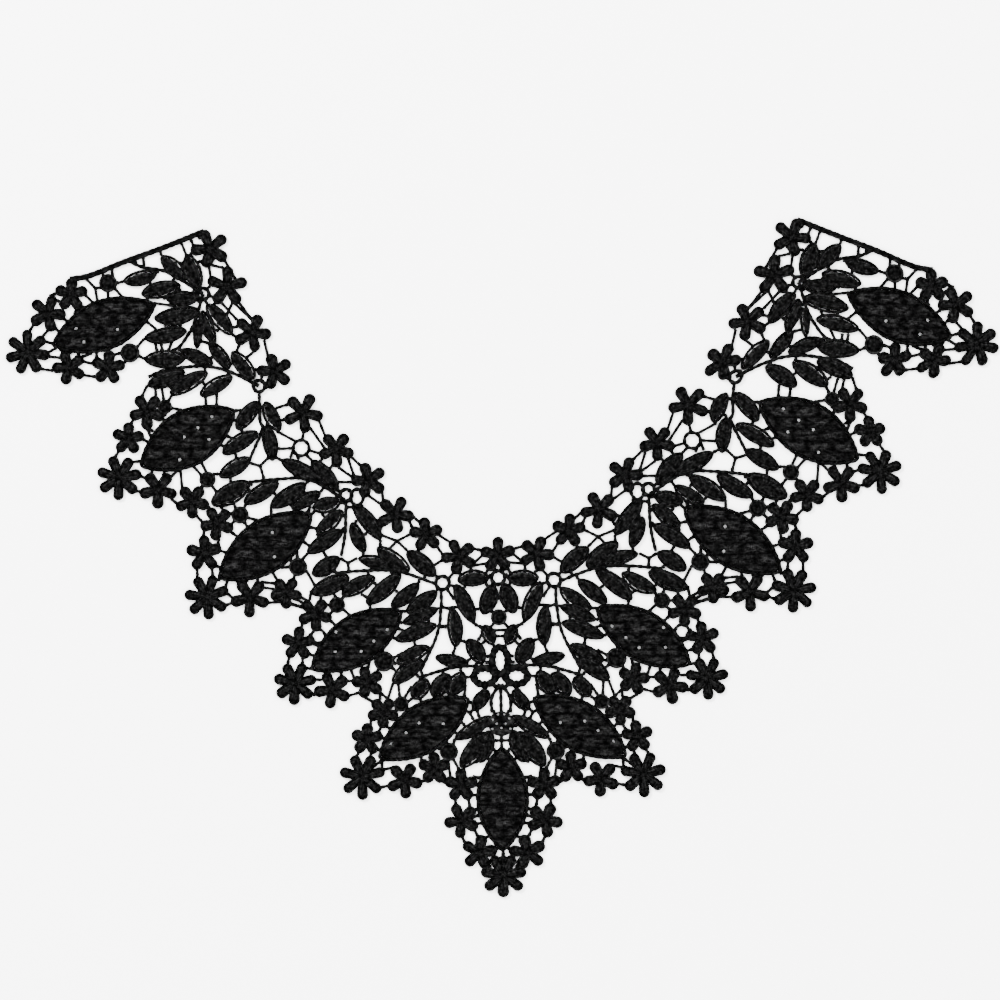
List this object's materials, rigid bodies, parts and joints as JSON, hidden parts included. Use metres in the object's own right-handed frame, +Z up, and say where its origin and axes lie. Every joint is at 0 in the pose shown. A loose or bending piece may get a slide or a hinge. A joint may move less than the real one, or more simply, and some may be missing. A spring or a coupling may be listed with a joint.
{
  "type": "lace collar",
  "caption": "Pointed collar of black needle-lace laid flat: leaf sprays, flowers and berries joined by thin bars, deep scallops, open V neck.",
  "frame": {"origin": "middle of the laid collar's box, on the surface that it lies on", "axes": "+X towards the end of the right wing, +Y from the point towards the neck opening, +Z up from the surface"},
  "size_m": [0.4108, 0.2802, 0.0023],
  "materials": {
    "lace_thread": "satin",
    "leaf_filling": "satin",
    "end_cord": "satin"
  },
  "bodies": {
    "root": {"lace_left": "lace_thread", "lace_right": "lace_thread", "lace_point": "lace_thread", "leaf_left_1": "leaf_filling", "leaf_left_2": "leaf_filling", "leaf_left_3": "leaf_filling", "leaf_left_4": "leaf_filling", "leaf_left_5": "leaf_filling", "leaf_right_1": "leaf_filling", "leaf_right_2": "leaf_filling", "leaf_right_3": "leaf_filling", "leaf_right_4": "leaf_filling", "leaf_right_5": "leaf_filling", "leaf_point": "leaf_filling", "end_cord_left": "end_cord", "end_cord_right": "end_cord"}
  },
  "joints": []
}
